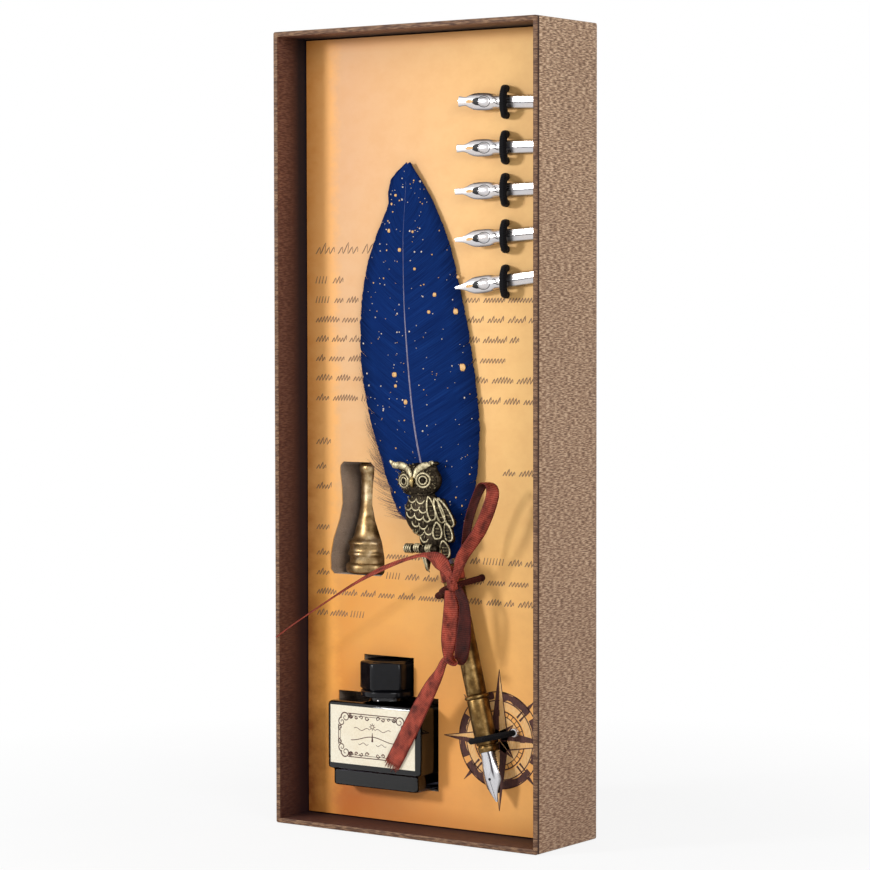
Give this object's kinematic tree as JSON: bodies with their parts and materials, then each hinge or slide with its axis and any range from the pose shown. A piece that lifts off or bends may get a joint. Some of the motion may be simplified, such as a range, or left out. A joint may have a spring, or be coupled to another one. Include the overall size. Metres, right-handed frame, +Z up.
{
  "type": "calligraphy set box",
  "caption": "Shallow rigid box with a feather dip pen, ink bottle, brass pen stand and spare nibs held on a foam insert.",
  "frame": {"origin": "middle of the footprint on which the box stands, at its underside", "axes": "+Z up along the box's height, +X to the right across its width, the open face towards -Y"},
  "size_m": [0.119, 0.0412, 0.3],
  "materials": {
    "greyboard": "matte",
    "cover_paper": "matte",
    "rim_paper": "matte",
    "lining_paper": "matte",
    "foam": "matte",
    "card_print": "satin",
    "elastic": "matte",
    "crimp": "gloss",
    "tie": "matte",
    "antique_brass": "satin",
    "nib_steel": "gloss",
    "feed": "gloss",
    "quill": "satin",
    "feather": "matte",
    "owl_metal": "satin",
    "ribbon": "satin",
    "bottle_glass": "gloss",
    "ink": "gloss",
    "label": "matte",
    "cap": "gloss",
    "liner": "matte"
  },
  "bodies": {
    "tray": {"back_board": "greyboard", "left_board": "greyboard", "right_board": "greyboard", "top_board": "greyboard", "bottom_board": "greyboard", "cover_back": "cover_paper", "cover_left": "cover_paper", "cover_right": "cover_paper", "cover_top": "cover_paper", "cover_bottom": "cover_paper", "rim_paper": "rim_paper", "wall_lining": "lining_paper", "foam_insert": "foam", "printed_card": "card_print", "nib_loops": "elastic", "pen_lower_loop": "elastic", "loop_crimp": "crimp", "pen_upper_tie": "tie"},
    "pen": {"pen_barrel": "antique_brass", "pen_collar": "antique_brass", "pen_grip": "antique_brass", "feather_quill": "quill", "feather_vane_left": "feather", "feather_vane_right": "feather", "owl_charm": "owl_metal", "ribbon_wrap": "ribbon", "ribbon_knot": "ribbon", "bow_upper_loop": "ribbon", "bow_lower_loop": "ribbon", "ribbon_left_tail": "ribbon"},
    "nib_unit": {"pen_nib": "nib_steel", "nib_feed": "feed"},
    "lower_tail": {"ribbon_lower_tail": "ribbon"},
    "stand": {"pen_stand": "antique_brass"},
    "bottle": {"bottle_glass": "bottle_glass", "ink": "ink", "bottle_label": "label"},
    "cap": {"bottle_cap": "cap", "cap_liner": "liner"},
    "spare_1": {"spare_nib_1": "nib_steel"},
    "spare_2": {"spare_nib_2": "nib_steel"},
    "spare_3": {"spare_nib_3": "nib_steel"},
    "spare_4": {"spare_nib_4": "nib_steel"},
    "spare_5": {"spare_nib_5": "nib_steel"}
  },
  "joints": [
    {"name": "pen_slide", "type": "slide", "parent": "tray", "child": "pen", "axis": [-0.2419, 0, 0.9703], "range_m": [0, 0.027]},
    {"name": "pen_nib_pull", "type": "slide", "parent": "pen", "child": "nib_unit", "axis": [0.2419, 0, -0.9703], "range_m": [0, 0.009]},
    {"name": "stand_lift", "type": "slide", "parent": "tray", "child": "stand", "axis": [0, -1, 0], "range_m": [0, 0.045]},
    {"name": "bottle_lift", "type": "slide", "parent": "tray", "child": "bottle", "axis": [0, -1, 0], "range_m": [0, 0.024]},
    {"name": "lower_tail_swing", "type": "hinge", "parent": "pen", "child": "lower_tail", "pos_m": [0.017, -0.0181, 0.066], "axis": [-1, 0, 0], "range_deg": [0, 65]},
    {"name": "cap_turn", "type": "hinge", "parent": "bottle", "child": "cap", "pos_m": [-0.0189, -0.0025, 0.05], "axis": [0, 0, 1], "range_deg": [0, 540]},
    {"name": "spare_nib_1_slide", "type": "slide", "parent": "tray", "child": "spare_1", "axis": [-0.997, -0.0698, 0.0348], "range_m": [0, 0.0195]},
    {"name": "spare_nib_2_slide", "type": "slide", "parent": "tray", "child": "spare_2", "axis": [-0.9976, -0.0698, 0], "range_m": [0, 0.0195]},
    {"name": "spare_nib_3_slide", "type": "slide", "parent": "tray", "child": "spare_3", "axis": [-0.9974, -0.0698, -0.0174], "range_m": [0, 0.0195]},
    {"name": "spare_nib_4_slide", "type": "slide", "parent": "tray", "child": "spare_4", "axis": [-0.9951, -0.0698, -0.0696], "range_m": [0, 0.0195]},
    {"name": "spare_nib_5_slide", "type": "slide", "parent": "tray", "child": "spare_5", "axis": [-0.9901, -0.0698, -0.1216], "range_m": [0, 0.0195]}
  ],
  "couplings": [
    {"joint": "lower_tail_swing", "follows": "bottle_lift", "rad_per_m": 47}
  ]
}
